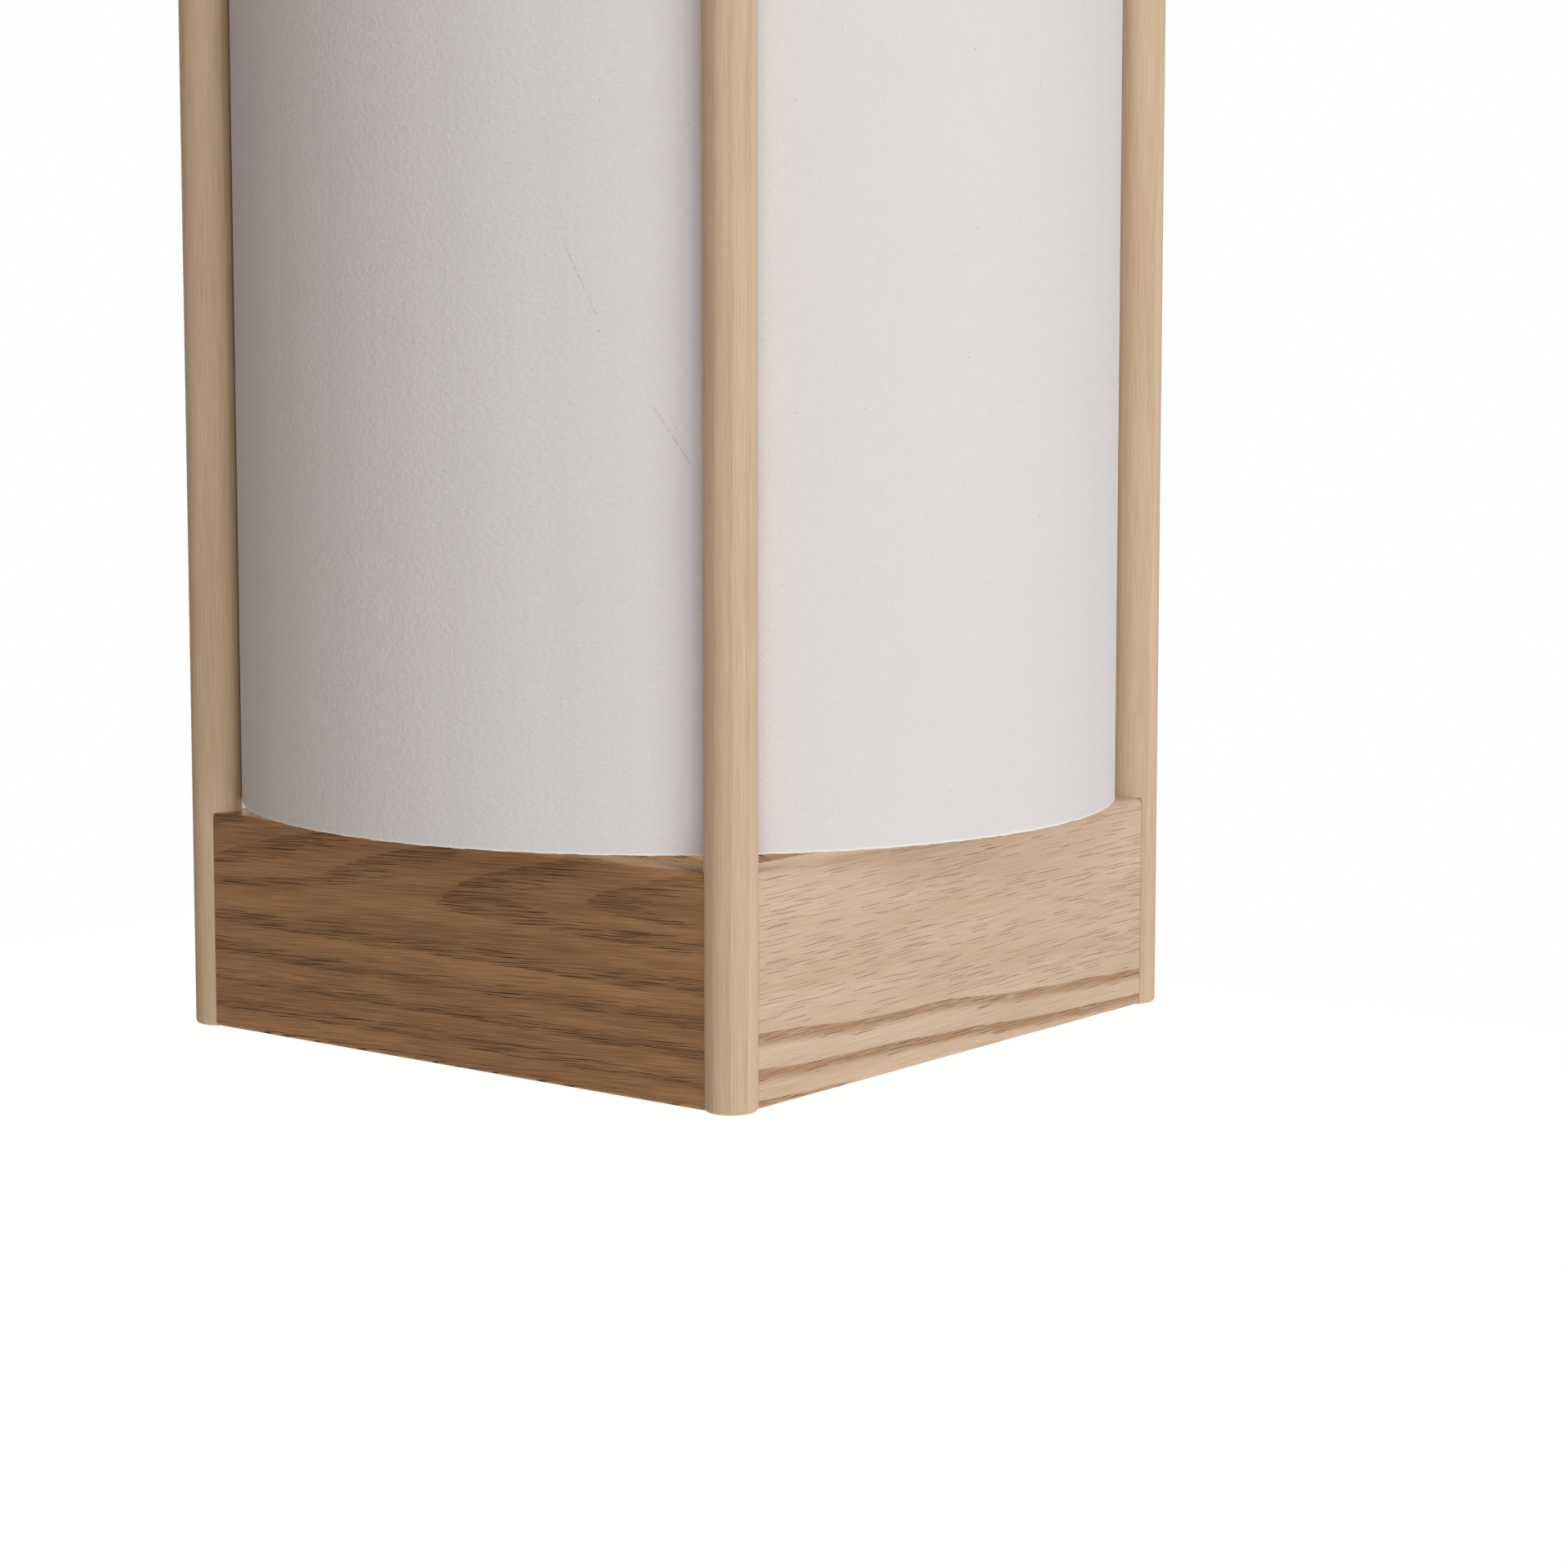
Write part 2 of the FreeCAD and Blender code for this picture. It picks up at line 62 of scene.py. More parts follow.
def vecCalc(tree, operation, *terms):
    node = tree.nodes.new("ShaderNodeVectorMath")
    node.operation = operation
    for socket, term in zip(node.inputs, terms):
        if isinstance(term, tuple):
            socket.default_value = term
        else:
            tree.links.new(term, socket)
    return node.outputs["Value" if operation in ("LENGTH", "DOT_PRODUCT") else "Vector"]


def scaleVector(tree, vector, factor):
    node = tree.nodes.new("ShaderNodeVectorMath")
    node.operation = "SCALE"
    tree.links.new(vector, node.inputs[0])
    tree.links.new(factor, node.inputs["Scale"])
    return node.outputs[0]


def turnAboutY(tree, vector, angle):
    turn = tree.nodes.new("ShaderNodeVectorRotate")
    turn.rotation_type = "Y_AXIS"
    tree.links.new(vector, turn.inputs["Vector"])
    tree.links.new(angle, turn.inputs["Angle"])
    return turn.outputs[0]


def joinVector(tree, *terms):
    node = tree.nodes.new("ShaderNodeCombineXYZ")
    for socket, term in zip(node.inputs, terms):
        tree.links.new(term, socket)
    return node.outputs[0]


def splitVector(tree, vector):
    node = tree.nodes.new("ShaderNodeSeparateXYZ")
    tree.links.new(vector, node.inputs[0])
    return node.outputs


def noise(tree, vector, detail=2.0, scale=1.0):
    node = tree.nodes.new("ShaderNodeTexNoise")
    node.inputs["Scale"].default_value = scale
    node.inputs["Detail"].default_value = detail
    tree.links.new(vector, node.inputs["Vector"])
    return node


def stretchedNoise(tree, vector, stretch, detail):
    return noise(tree, vecCalc(tree, "MULTIPLY", vector, stretch), detail)


def scatter(tree, vector):  # one random point in each unit cell
    node = tree.nodes.new("ShaderNodeTexVoronoi")
    node.voronoi_dimensions = "2D"
    node.inputs["Scale"].default_value = 1.0
    tree.links.new(vector, node.inputs["Vector"])
    return node


def ease(tree, value, fromLow, fromHigh, toLow=0.0, toHigh=1.0):
    node = tree.nodes.new("ShaderNodeMapRange")
    node.interpolation_type = "SMOOTHSTEP"
    tree.links.new(value, node.inputs["Value"])
    limits = (("From Min", fromLow), ("From Max", fromHigh), ("To Min", toLow), ("To Max", toHigh))
    for name, number in limits:
        node.inputs[name].default_value = number
    return node.outputs["Result"]


def blendColour(tree, share, first, second):
    node = tree.nodes.new("ShaderNodeMix")
    node.data_type = "RGBA"
    for socket, term in ((node.inputs[0], share), (node.inputs[6], first), (node.inputs[7], second)):
        if isinstance(term, (int, float, tuple)):
            socket.default_value = term
        else:
            tree.links.new(term, socket)
    return node.outputs[2]


def startGroup(name, inputs, outputs):
    tree = bpy.data.node_groups.new(name, "ShaderNodeTree")
    kinds = {"f": "NodeSocketFloat", "v": "NodeSocketVector", "c": "NodeSocketColor"}
    for label, kind, value in inputs:
        socket = tree.interface.new_socket(name=label, in_out="INPUT", socket_type=kinds[kind])
        if value is not None:
            socket.default_value = value
    for label, kind in outputs:
        tree.interface.new_socket(name=label, in_out="OUTPUT", socket_type=kinds[kind])
    return tree, tree.nodes.new("NodeGroupInput").outputs, tree.nodes.new("NodeGroupOutput").inputs


def startMaterial(name):
    material = bpy.data.materials.new(name)
    material.use_nodes = True
    return material, material.node_tree, material.node_tree.nodes["Principled BSDF"]


def placeGroup(tree, group, values):
    node = tree.nodes.new("ShaderNodeGroup")
    node.node_tree = group
    for label, value in values.items():
        node.inputs[label].default_value = value
    return node


def objectCoords(tree, turn=(0, 0, 0), shift=(0, 0, 0)):  # in millimetres
    perMetre = 1000.0
    coords = tree.nodes.new("ShaderNodeTexCoord")
    mapping = tree.nodes.new("ShaderNodeMapping")
    mapping.inputs["Scale"].default_value = (perMetre, perMetre, perMetre)
    mapping.inputs["Rotation"].default_value = [math.radians(angle) for angle in turn]
    mapping.inputs["Location"].default_value = shift
    tree.links.new(coords.outputs["Object"], mapping.inputs["Vector"])
    return mapping.outputs["Vector"]


def bumpInto(tree, shader, height, strength, depth):
    bump = tree.nodes.new("ShaderNodeBump")
    bump.inputs["Strength"].default_value = strength
    bump.inputs["Distance"].default_value = depth
    tree.links.new(height, bump.inputs["Height"])
    tree.links.new(bump.outputs["Normal"], shader.inputs["Normal"])


def dress(nodeName, material):
    mesh = nodes[nodeName].data
    mesh.materials.clear()
    mesh.materials.append(material)


# wood: growth rings round a heart line, rows of open pores in the early wood with a painted highlight under
# each, fine fibre
# stretches are per millimetre: along the board, then across it
grainLook = {
    "driftStretch": (0.013, 0.045, 0.045), "wanderStretch": (0.05, 0.25, 0.25), "wander": 0.9,
    "fibreAlong": 0.05, "fibreAcross": 2.4, "cloudStretch": (0.008, 0.12, 0.12),
    "taperTurn": (-6.0, 5.0),  # height from the heart line, over which the lower taper gives way
    "earlyFade": (0.35, 1.0), "ringEdge": 0.05, "heartEdge": 0.3, "stickRadius": 8.0,
    "staggerStretch": 0.7, "stagger": 5.0,
    "halfLength": 0.26, "lengthSpread": 0.3, "halfWidth": 0.35, "widthSpread": 0.35,
    "poreEdge": (0.35, 1.0), "poreOnset": 8.0, "highlightDrop": 1.4, "highlightStrength": 0.75, "heartFade": -0.5,
    "baseTone": 0.3, "fibreTone": 1.5, "cloudTone": 1.1,
    "fibreHeight": 0.3, "roughness": 0.42, "fibreRough": 0.2, "poreRough": 0.2, "gloss": 0.1,
}
figureInputs = (
    ("Vector", "v", None), ("Heart Offset", "v", None), ("Ring Width", "f", 6.0), ("Ring Start", "f", 0.0),
    ("Heart Radius", "f", 0.0), ("Taper", "f", 0.0), ("Lower Taper", "f", 1.0), ("Ring Tilt", "f", 0.0),
    ("Fibre Tilt", "f", 0.0), ("Waviness", "f", 2.0), ("Early Wood", "f", 0.5), ("Band Strength", "f", 0.4),
    ("Fibre Strength", "f", 1.0), ("Pore Length", "f", 8.0), ("Pore Spacing", "f", 1.2),
    ("Pore Width", "f", 0.4), ("Pore Fill", "f", 0.8), ("Heart Fill", "f", 0.0), ("Stray Pores", "f", 0.05),
    ("Pore Depth", "f", 0.8), ("Round Stick", "f", 0.0), ("Light Wood", "c", None), ("Dark Wood", "c", None),
    ("Pore Wood", "c", None),
)


def growRings(tree, given):
    drift = stretchedNoise(tree, given["Vector"], grainLook["driftStretch"], detail=2.0)
    drift = vecCalc(tree, "SUBTRACT", drift.outputs["Color"], (0.5, 0.5, 0.5))
    cone = vecCalc(tree, "ADD", given["Vector"], given["Heart Offset"])
    cone = vecCalc(tree, "ADD", cone, scaleVector(tree, drift, given["Waviness"]))
    cone = turnAboutY(tree, cone, given["Ring Tilt"])
    radius = vecCalc(tree, "LENGTH", vecCalc(tree, "MULTIPLY", cone, (0.0, 1.0, 1.0)))
    upper = ease(tree, splitVector(tree, cone)["Z"], *grainLook["taperTurn"])
    change = calc(tree, "SUBTRACT", 1.0, given["Lower Taper"])
    taper = calc(tree, "MULTIPLY_ADD", change, upper, given["Lower Taper"])
    taper = calc(tree, "MULTIPLY", taper, given["Taper"])
    radius = calc(tree, "MULTIPLY_ADD", splitVector(tree, cone)["X"], taper, radius)
    turns = calc(tree, "ADD", calc(tree, "DIVIDE", radius, given["Ring Width"]), given["Ring Start"])
    ring = calc(tree, "FRACT", turns)
    fade = ease(tree, calc(tree, "DIVIDE", ring, given["Early Wood"]), *grainLook["earlyFade"], 1.0, 0.0)
    early = calc(tree, "MULTIPLY", fade, ease(tree, ring, 0.0, grainLook["ringEdge"]))
    inHeart = ease(tree, calc(tree, "SUBTRACT", given["Heart Radius"], radius), 0.0, grainLook["heartEdge"])
    early = calc(tree, "MULTIPLY", early, calc(tree, "SUBTRACT", 1.0, inHeart))
    return early, inHeart


def layFibres(tree, given):
    fibres = splitVector(tree, turnAboutY(tree, given["Vector"], given["Fibre Tilt"]))
    flat = calc(tree, "ADD", fibres["Y"], fibres["Z"])
    rolled = calc(tree, "MULTIPLY", calc(tree, "ARCTAN2", fibres["Y"], fibres["Z"]), grainLook["stickRadius"])
    across = calc(tree, "MULTIPLY_ADD", calc(tree, "SUBTRACT", rolled, flat), given["Round Stick"], flat)
    wander = stretchedNoise(tree, given["Vector"], grainLook["wanderStretch"], detail=1.0).outputs["Fac"]
    across = calc(tree, "MULTIPLY_ADD", calc(tree, "SUBTRACT", wander, 0.5), grainLook["wander"], across)
    return fibres["X"], across


def poreOval(tree, endways, sideways, opened):
    endSquare = calc(tree, "MULTIPLY", endways, endways)
    sideSquare = calc(tree, "MULTIPLY", sideways, sideways)
    oval = ease(tree, calc(tree, "ADD", endSquare, sideSquare), *grainLook["poreEdge"], 1.0, 0.0)
    return calc(tree, "MULTIPLY", oval, opened)


def openPores(tree, given, along, across, early, inHeart):
    row = calc(tree, "MULTIPLY", across, grainLook["staggerStretch"])
    stagger = noise(tree, joinVector(tree, row), detail=2.0)
    lengthways = calc(tree, "DIVIDE", along, given["Pore Length"])
    lengthways = calc(tree, "MULTIPLY_ADD", stagger.outputs["Fac"], grainLook["stagger"], lengthways)
    spot = joinVector(tree, lengthways, calc(tree, "DIVIDE", across, given["Pore Spacing"]))
    cells = scatter(tree, spot)
    fromMid = splitVector(tree, vecCalc(tree, "SUBTRACT", spot, cells.outputs["Position"]))
    chance = splitVector(tree, cells.outputs["Color"])
    halfLength = calc(tree, "MULTIPLY_ADD", chance["Y"], grainLook["lengthSpread"], grainLook["halfLength"])
    halfWidth = calc(tree, "MULTIPLY_ADD", chance["Z"], grainLook["widthSpread"], grainLook["halfWidth"])
    widthShare = calc(tree, "DIVIDE", given["Pore Width"], given["Pore Spacing"])
    endways = calc(tree, "DIVIDE", fromMid["X"], halfLength)
    sideways = calc(tree, "DIVIDE", fromMid["Y"], calc(tree, "MULTIPLY", widthShare, halfWidth))
    share = calc(tree, "MULTIPLY_ADD", inHeart, given["Heart Fill"], given["Stray Pores"])
    share = calc(tree, "MULTIPLY_ADD", early, given["Pore Fill"], share)
    drawn = calc(tree, "SUBTRACT", share, chance["X"])
    opened = calc(tree, "MULTIPLY", drawn, grainLook["poreOnset"], clamp=True)
    pore = poreOval(tree, endways, sideways, opened)
    below = calc(tree, "ADD", sideways, grainLook["highlightDrop"])  # painted highlight: the lip under a pore is drawn lighter, as if it caught light
    return pore, poreOval(tree, endways, below, opened)


def buildWoodFigure():
    outputs = (("Color", "c"), ("Height", "f"), ("Roughness", "f"))
    tree, given, result = startGroup("woodFigure", figureInputs, outputs)
    early, inHeart = growRings(tree, given)
    along, across = layFibres(tree, given)
    pore, paintedHighlight = openPores(tree, given, along, across, early, inHeart)
    fibreSpot = joinVector(tree, calc(tree, "MULTIPLY", along, grainLook["fibreAlong"]),
                           calc(tree, "MULTIPLY", across, grainLook["fibreAcross"]))
    fibre = noise(tree, fibreSpot, detail=3.0).outputs["Fac"]
    cloud = stretchedNoise(tree, given["Vector"], grainLook["cloudStretch"], detail=3.0).outputs["Fac"]
    streaks = calc(tree, "MULTIPLY", calc(tree, "SUBTRACT", cloud, 0.5), grainLook["cloudTone"])
    streaks = calc(tree, "MULTIPLY_ADD", calc(tree, "SUBTRACT", fibre, 0.5), grainLook["fibreTone"], streaks)
    tone = calc(tree, "MULTIPLY_ADD", early, given["Band Strength"], grainLook["baseTone"])
    tone = calc(tree, "MULTIPLY_ADD", streaks, given["Fibre Strength"], tone)
    tone = calc(tree, "MAXIMUM", calc(tree, "MINIMUM", tone, 1.0), 0.0)
    wood = blendColour(tree, tone, given["Light Wood"], given["Dark Wood"])
    # painted highlight: the lip under each pore is blended towards the light wood colour
    wood = blendColour(tree, calc(tree, "MULTIPLY", paintedHighlight, grainLook["highlightStrength"]), wood, given["Light Wood"])
    poreDepth = calc(tree, "MULTIPLY_ADD", inHeart, grainLook["heartFade"], 1.0)
    poreDepth = calc(tree, "MULTIPLY", given["Pore Depth"], poreDepth)
    wood = blendColour(tree, calc(tree, "MULTIPLY", pore, poreDepth), wood, given["Pore Wood"])
    tree.links.new(wood, result["Color"])
    height = calc(tree, "MULTIPLY_ADD", fibre, grainLook["fibreHeight"], calc(tree, "SUBTRACT", 1.0, pore))
    tree.links.new(height, result["Height"])
    rough = calc(tree, "MULTIPLY_ADD", fibre, grainLook["fibreRough"], grainLook["roughness"])
    rough = calc(tree, "MULTIPLY_ADD", pore, grainLook["poreRough"], rough)
    tree.links.new(rough, result["Roughness"])
    return tree


woodFigure = buildWoodFigure()


def makeWood(name, look):
    material, tree, shader = startMaterial(name)
    figure = placeGroup(tree, woodFigure, look["figure"])
    tree.links.new(objectCoords(tree, turn=look["turn"], shift=look["shift"]), figure.inputs["Vector"])
    tree.links.new(figure.outputs["Color"], shader.inputs["Base Color"])
    tree.links.new(figure.outputs["Roughness"], shader.inputs["Roughness"])
    bumpInto(tree, shader, figure.outputs["Height"], look["relief"], look["depth"])
    shader.inputs["Specular IOR Level"].default_value = grainLook["gloss"]
    return material


# boards, in millimetres and degrees; pores are length, spacing and width
plainBoard = {"along": 0, "heart": 0, "heartFill": 0, "lowerTaper": 1, "early": 0.5, "waviness": 3.0,
              "stray": 0.06, "poreDepth": 0.9}
brownBoard = {**plainBoard, "light": paint(174, 132, 94), "dark": paint(88, 60, 37),
              "poreWood": paint(46, 29, 16), "streaks": 1.0}
paleBoard = {**plainBoard, "light": paint(216, 194, 170), "dark": paint(165, 129, 95),
             "poreWood": paint(114, 71, 38), "streaks": 0.6,
             "pores": (11.0, 1.6, 0.36), "fill": 0.7, "band": 0.5}
midBoard = {**plainBoard, "light": paint(200, 168, 134), "dark": paint(164, 126, 92),
            "poreWood": paint(100, 67, 42), "streaks": 1.0,
            "pores": (9.0, 1.3, 0.4), "fill": 0.75, "band": 0.4}

# rails: each one is its own board
# depth and rise put the heart line behind the outer face, from the upper edge
railLooks = {
    "lower_rail_front": {**brownBoard, "depth": 14, "rise": -18, "ring": -8.3, "start": 0.736,
                         "taper": -0.153, "lowerTaper": 0.12, "lean": 1, "tilt": 3, "early": 0.62,
                         "pores": (24.0, 0.55, 0.21), "fill": 1.0, "band": 0.15},
    "lower_rail_right": {**paleBoard, "depth": 85, "rise": 0, "ring": 5.3, "start": 0.132, "taper": -0.024,
                         "heart": 99.5, "lean": 0, "tilt": 1, "pores": (15.0, 0.85, 0.19),
                         "fill": 0.9, "heartFill": 0.42, "band": 0.6},
    "lower_rail_back": {**midBoard, "along": 150, "depth": 50, "rise": -30, "ring": 6.0, "start": 0.3,
                        "taper": 0.09, "lean": 4, "tilt": 2},
    "lower_rail_left": {**midBoard, "along": 320, "depth": 70, "rise": 10, "ring": 6.4, "start": 0.7,
                        "taper": -0.06, "lean": -3, "tilt": -2, "pores": (10.0, 1.4, 0.4)},
    "upper_rail_front": {**midBoard, "along": 480, "depth": 60, "rise": -40, "ring": 6.2, "start": 0.2,
                         "taper": 0.08, "lean": 5, "tilt": 2},
    "upper_rail_right": {**paleBoard, "along": 650, "depth": 75, "rise": -55, "ring": 6.0, "start": 0.6,
                         "taper": -0.07, "lean": -4, "tilt": 3},
    "upper_rail_back": {**midBoard, "along": 810, "depth": 45, "rise": 6, "ring": 6.6, "start": 0.9,
                        "taper": 0.05, "lean": 2, "tilt": -2},
    "upper_rail_left": {**paleBoard, "along": 970, "depth": 55, "rise": -20, "ring": 5.6, "start": 0.4,
                        "taper": -0.1, "lean": -5, "tilt": 1},
}
railPlaces = {"face": 114.0, "tops": {"lower": -434.5, "upper": 15.5},
              "turns": {"front": 0, "right": -90, "back": 180, "left": 90}}


def boardFigure(board):
    length, spacing, width = board["pores"]
    return {
        "Ring Width": board["ring"], "Ring Start": board["start"], "Heart Radius": board["heart"],
        "Taper": board["taper"], "Lower Taper": board["lowerTaper"], "Waviness": board["waviness"],
        "Ring Tilt": math.radians(board["lean"]), "Fibre Tilt": math.radians(board["tilt"]),
        "Early Wood": board["early"], "Band Strength": board["band"], "Fibre Strength": board["streaks"],
        "Pore Length": length, "Pore Spacing": spacing, "Pore Width": width, "Pore Fill": board["fill"],
        "Heart Fill": board["heartFill"], "Stray Pores": board["stray"], "Pore Depth": board["poreDepth"],
        "Light Wood": board["light"], "Dark Wood": board["dark"], "Pore Wood": board["poreWood"],
    }


for railName, board in railLooks.items():
    level, _, side = railName.split("_")
    heartHeight = -railPlaces["tops"][level] - board["rise"]
    dress(railName, makeWood(railName + "Wood", {
        "turn": (0, 0, railPlaces["turns"][side]),
        "shift": (board["along"], railPlaces["face"] - board["depth"], heartHeight),
        "relief": 0.8, "depth": 0.00035, "figure": boardFigure(board),
    }))

# posts: four sticks from straight-grained wood, each with its own start in the figure
stickLook = {
    "Ring Width": 5.0, "Taper": 0.004, "Waviness": 2.0, "Band Strength": 0.3, "Round Stick": 1.0,
    "Pore Length": 10.0, "Pore Spacing": 0.9, "Pore Width": 0.2, "Pore Fill": 0.35, "Stray Pores": 0.06,
    "Pore Depth": 0.3, "Light Wood": paint(209, 187, 160), "Dark Wood": paint(186, 160, 129),
    "Pore Wood": paint(138, 101, 70),
}
postLook = {"offAxis": 107.5, "heartAway": 60, "heartTurn": 7, "slide": 1000}
postCorners = {"front_right": (1, -1, 0.3), "back_right": (1, 1, 0.55), "back_left": (-1, 1, 0.8),
               "front_left": (-1, -1, 0.1)}
for corner, (sideX, sideY, start) in postCorners.items():
    heartAngle = postLook["heartTurn"] * start
    heart = (0.0, postLook["heartAway"] * math.cos(heartAngle), postLook["heartAway"] * math.sin(heartAngle))
    dress("post_" + corner, makeWood("post_" + corner + "Wood", {
        "turn": (0, 90, 0),
        "shift": (start * postLook["slide"], -sideY * postLook["offAxis"], sideX * postLook["offAxis"]),
        "relief": 0.4, "depth": 0.00015, "figure": {**stickLook, "Ring Start": start, "Heart Offset": heart},
    }))

barLook = {**midBoard, "depth": 60, "rise": 20, "ring": 6.0, "start": 0.2, "taper": 0.03,
           "lean": 2, "tilt": 0}
dress("crossbar", makeWood("crossbarWood", {
    "turn": (0, 0, 0), "shift": (0, barLook["depth"], barLook["rise"]),
    "relief": 0.6, "depth": 0.0002, "figure": boardFigure(barLook),
}))
pinWood = makeWood("pinWood", {
    "turn": (0, 0, 0), "shift": (0, 0, 0), "relief": 0.4, "depth": 0.0001,
    "figure": {**stickLook, "Round Stick": 0.0, "Heart Offset": (0.0, 30.0, 40.0)},
})
dress("lower_rail_pins", pinWood)
dress("upper_rail_pins", pinWood)
print("wood dressed:", len(railLooks), "rails,", len(postCorners), "posts, crossbar and pins")


# small unevenness for plastic, metal and lacquer
gritLook = {"broadScale": 0.12, "fineHeight": 0.8, "broadHeight": 0.2, "cloudWear": 0.5, "speckleWear": 0.5,
            "wearReach": (0.3, 0.7)}


def buildGrit():
    tree, given, result = startGroup("grit", (("Vector", "v", None), ("Grain", "f", 1.0)),
                                     (("Speckle", "f"), ("Cloud", "f"), ("Height", "f")))
    fine = noise(tree, given["Vector"], detail=2.0)
    tree.links.new(given["Grain"], fine.inputs["Scale"])
    broad = noise(tree, given["Vector"], detail=2.0, scale=gritLook["broadScale"])
    tree.links.new(fine.outputs["Fac"], result["Speckle"])
    tree.links.new(broad.outputs["Fac"], result["Cloud"])
    swell = calc(tree, "MULTIPLY", broad.outputs["Fac"], gritLook["broadHeight"])
    height = calc(tree, "MULTIPLY_ADD", fine.outputs["Fac"], gritLook["fineHeight"], swell)
    tree.links.new(height, result["Height"])
    return tree


grit = buildGrit()


def makeFinish(name, look):
    material, tree, shader = startMaterial(name)
    part = placeGroup(tree, grit, {"Grain": look["grain"]})
    tree.links.new(objectCoords(tree), part.inputs["Vector"])
    worn = calc(tree, "MULTIPLY", part.outputs["Cloud"], gritLook["cloudWear"])
    worn = calc(tree, "MULTIPLY_ADD", part.outputs["Speckle"], gritLook["speckleWear"], worn)
    tree.links.new(blendColour(tree, worn, look["dark"], look["light"]), shader.inputs["Base Color"])
    tree.links.new(ease(tree, worn, *gritLook["wearReach"], *look["rough"]), shader.inputs["Roughness"])
    bumpInto(tree, shader, part.outputs["Height"], look["relief"], look["depth"])
    shader.inputs["Metallic"].default_value = look.get("metal", 0.0)
    if "scatter" in look:  # light goes a little way into opal plastic
        shader.inputs["Subsurface Weight"].default_value = look["scatter"]
        shader.inputs["Subsurface Radius"].default_value = look["scatterReach"]
    return material


finishLooks = {
    "whiteWire": {"dark": paint(214, 212, 206), "light": paint(236, 234, 229), "rough": (0.38, 0.55),
                  "grain": 1.4, "relief": 0.3, "depth": 0.0001},
    "zincPlate": {"dark": paint(150, 149, 145), "light": paint(204, 203, 198), "rough": (0.26, 0.46),
                  "grain": 2.2, "relief": 0.2, "depth": 0.00006, "metal": 1.0},
    "blackThermoset": {"dark": paint(22, 22, 23), "light": paint(44, 43, 43), "rough": (0.4, 0.58),
                       "grain": 2.6, "relief": 0.3, "depth": 0.00008},
    "whiteCeramic": {"dark": paint(214, 209, 200), "light": paint(236, 232, 224), "rough": (0.5, 0.7),
                     "grain": 1.2, "relief": 0.2, "depth": 0.0001},
    "plainBrass": {"dark": paint(158, 120, 58), "light": paint(212, 176, 104), "rough": (0.24, 0.44),
                   "grain": 1.8, "relief": 0.2, "depth": 0.00006, "metal": 1.0},
    "blackGlassy": {"dark": paint(12, 12, 13), "light": paint(28, 28, 29), "rough": (0.12, 0.24),
                    "grain": 0.8, "relief": 0.1, "depth": 0.00005},
    "nickelPlate": {"dark": paint(166, 163, 156), "light": paint(214, 211, 203), "rough": (0.2, 0.38),
                    "grain": 2.0, "relief": 0.15, "depth": 0.00005, "metal": 1.0},
    "whiteMoulding": {"dark": paint(222, 221, 217), "light": paint(238, 237, 233), "rough": (0.34, 0.48),
                      "grain": 2.4, "relief": 0.2, "depth": 0.00006},
    "whiteBoard": {"dark": paint(206, 206, 202), "light": paint(230, 230, 226), "rough": (0.4, 0.6),
                   "grain": 1.6, "relief": 0.2, "depth": 0.00006},
    "opalGlobe": {"dark": paint(232, 230, 224), "light": paint(244, 242, 237), "rough": (0.3, 0.42),
                  "grain": 0.9, "relief": 0.06, "depth": 0.00005,
                  "scatter": 0.25, "scatterReach": (0.006, 0.006, 0.005)},
}
finishes = {name: makeFinish(name, look) for name, look in finishLooks.items()}
wearers = {
    "whiteWire": ("shade_spider", "shade_bottom_ring"),
    "zincPlate": ("threaded_tube", "tube_washers", "tube_nut", "cord_grip_screw", "terminal_screws"),
    "blackThermoset": ("cord_grip", "lampholder_cap", "lampholder_skirt", "shade_ring_nut"),
    "whiteCeramic": ("lampholder_core",),
    "plainBrass": ("lampholder_screw_shell", "lampholder_contact", "bulb_tip"),
    "blackGlassy": ("bulb_insulator",),
    "nickelPlate": ("bulb_cap",),
    "whiteMoulding": ("bulb_collar",),
    "whiteBoard": ("bulb_led_board",),
    "opalGlobe": ("bulb_globe",),
}
for finish, names in wearers.items():
    for nodeName in names:
        dress(nodeName, finishes[finish])
print("finishes dressed:", len(finishes))


# paper of the shade: soft fibre, a few specks, two faint scuffs and a painted highlight along the cut edges
# lengths are in millimetres on the flat sheet, apart from the relief's depth in metres
paperLook = {
    "wide": 907.5, "high": 373.0, "relief": 0.5, "depth": 0.0006, "roughness": 0.85, "gloss": 0.2,
    "dark": paint(218, 217, 218), "light": paint(222, 221, 222), "speck": paint(160, 150, 142),
    "edgeHighlight": paint(238, 236, 233), "edgeHighlightReach": (0.3, 0.8),
    "scuffs": (((518.0, 178.0), (529.0, 154.5)), ((541.8, 134.2), (556.0, 112.5))),
    "scuffEnds": 4.0, "scuffWidth": (0.1, 0.45), "scuffStrength": 0.35, "scuffStretch": (0.5, 0.5, 1.0),
    "fineStretch": (1.4, 1.9, 1.0), "rowStretch": (0.12, 1.1, 1.0), "cloudStretch": (0.03, 0.035, 1.0),
    "feltStretch": (0.5, 0.7, 1.0), "speckStretch": (0.034, 0.034, 1.0), "speckEdge": (0.0032, 0.0096),
    "scuffReach": (0.35, 0.6), "fineTone": 0.6, "rowTone": 0.25, "cloudTone": 0.15, "toneReach": (0.3, 0.7),
    "fineHeight": 0.5, "rowHeight": 0.2,
}


